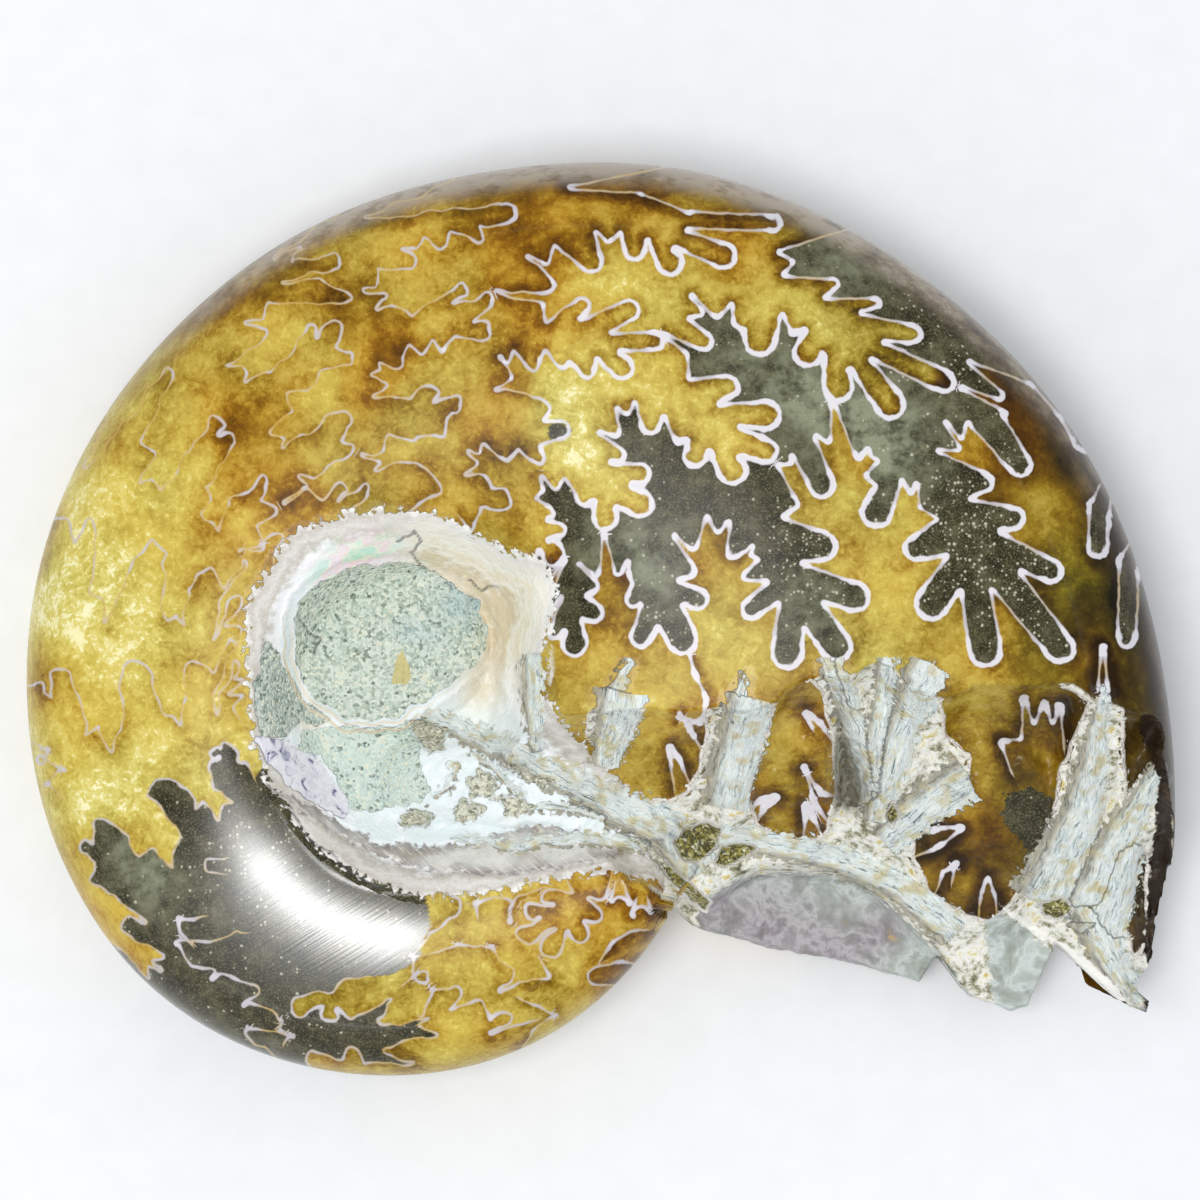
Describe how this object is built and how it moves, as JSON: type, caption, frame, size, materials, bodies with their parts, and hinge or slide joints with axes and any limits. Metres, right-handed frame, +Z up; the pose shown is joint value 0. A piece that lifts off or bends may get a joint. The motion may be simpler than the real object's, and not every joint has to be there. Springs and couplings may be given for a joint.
{
  "type": "fossil ammonite",
  "caption": "Polished coiled ammonite fossil lying on its flank, with a mud-filled umbilicus and a broken open end that shows its septa.",
  "frame": {"origin": "on the table, under the middle of the box round the shell", "axes": "+X along the longest extent, towards the open end's side; +Y across the shell, away from the open end; +Z up from the table, through the thickness"},
  "size_m": [0.1, 0.0798, 0.0289],
  "materials": {
    "ammonite_stone": "polished"
  },
  "bodies": {
    "root": {"ammonite": "ammonite_stone"}
  },
  "joints": []
}
